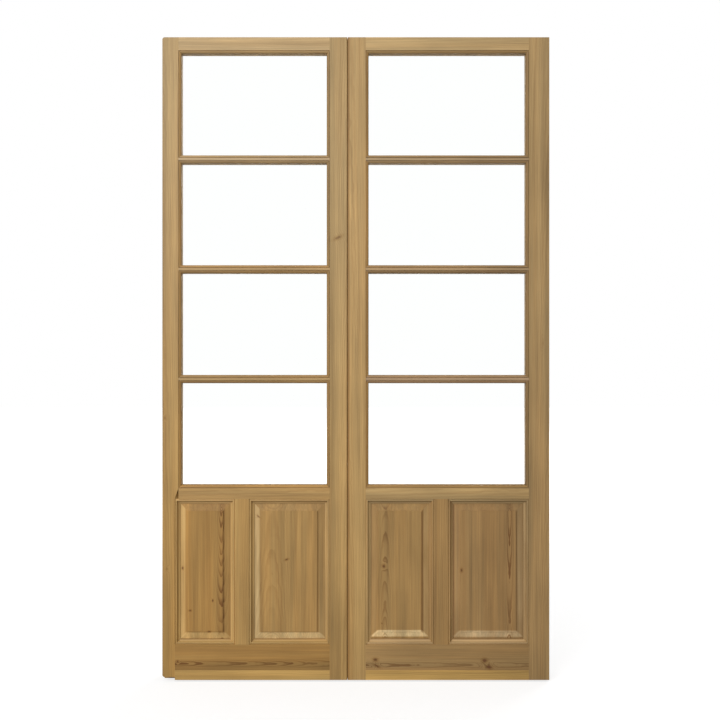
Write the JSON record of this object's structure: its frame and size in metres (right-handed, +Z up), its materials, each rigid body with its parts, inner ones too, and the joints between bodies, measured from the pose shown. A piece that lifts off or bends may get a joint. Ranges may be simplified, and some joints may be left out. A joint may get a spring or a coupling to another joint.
{
  "type": "french doors",
  "caption": "French doors in waxed pine: glazed lights with moulded bars over raised panels, each leaf swinging on butt hinges and lapped over a slim frame.",
  "frame": {"origin": "on the floor, at the middle of the width and of the depth over leaves and frame", "axes": "+X to the right seen from the moulded face, +Y from the moulded face towards the frame behind, +Z up"},
  "size_m": [1.3384, 0.101, 2.206],
  "materials": {
    "pine_leaf": "old pine, stripped and waxed, satin",
    "pine_panel": "old pine boards, stripped and waxed, satin",
    "pine_strip": "newer yellow pine, waxed, satin",
    "pine_frame": "planed pine, waxed, satin",
    "glass": "clear sheet glass",
    "iron": "dark old iron, oiled"
  },
  "bodies": {
    "frame": {"left_jamb": "pine_frame", "right_jamb": "pine_frame", "frame_head": "pine_frame", "frame_sill": "pine_frame", "left_low_hinge_frame_plate": "iron", "left_mid_hinge_frame_plate": "iron", "left_top_hinge_frame_plate": "iron", "left_hinge_pins": "iron", "right_low_hinge_frame_plate": "iron", "right_mid_hinge_frame_plate": "iron", "right_top_hinge_frame_plate": "iron", "right_hinge_pins": "iron", "frame_hinge_screws": "iron"},
    "left_leaf": {"left_hanging_stile": "pine_leaf", "left_meeting_stile": "pine_leaf", "left_top_rail": "pine_leaf", "left_upper_bar": "pine_leaf", "left_middle_bar": "pine_leaf", "left_lower_bar": "pine_leaf", "left_lock_rail": "pine_leaf", "left_muntin": "pine_leaf", "left_bottom_rail": "pine_leaf", "left_foot_strip": "pine_strip", "left_narrow_panel": "pine_panel", "left_wide_panel": "pine_panel", "left_pane_1": "glass", "left_pane_2": "glass", "left_pane_3": "glass", "left_pane_4": "glass", "left_glazing_beads": "pine_leaf", "left_low_hinge_door_plate": "iron", "left_mid_hinge_door_plate": "iron", "left_top_hinge_door_plate": "iron", "left_hinge_screws": "iron"},
    "right_leaf": {"right_hanging_stile": "pine_leaf", "right_meeting_stile": "pine_leaf", "right_top_rail": "pine_leaf", "right_upper_bar": "pine_leaf", "right_middle_bar": "pine_leaf", "right_lower_bar": "pine_leaf", "right_lock_rail": "pine_leaf", "right_muntin": "pine_leaf", "right_bottom_rail": "pine_leaf", "right_foot_strip": "pine_strip", "right_narrow_panel": "pine_panel", "right_wide_panel": "pine_panel", "right_pane_1": "glass", "right_pane_2": "glass", "right_pane_3": "glass", "right_pane_4": "glass", "right_glazing_beads": "pine_leaf", "right_low_hinge_door_plate": "iron", "right_mid_hinge_door_plate": "iron", "right_top_hinge_door_plate": "iron", "right_hinge_screws": "iron"}
  },
  "joints": [
    {"name": "left_leaf_swing", "type": "hinge", "parent": "frame", "child": "left_leaf", "pos_m": [-0.66475, -0.01, 1.103], "axis": [0, 0, -1], "range_deg": [0, 110]},
    {"name": "right_leaf_swing", "type": "hinge", "parent": "frame", "child": "right_leaf", "pos_m": [0.66475, -0.01, 1.103], "axis": [0, 0, 1], "range_deg": [0, 110]}
  ]
}
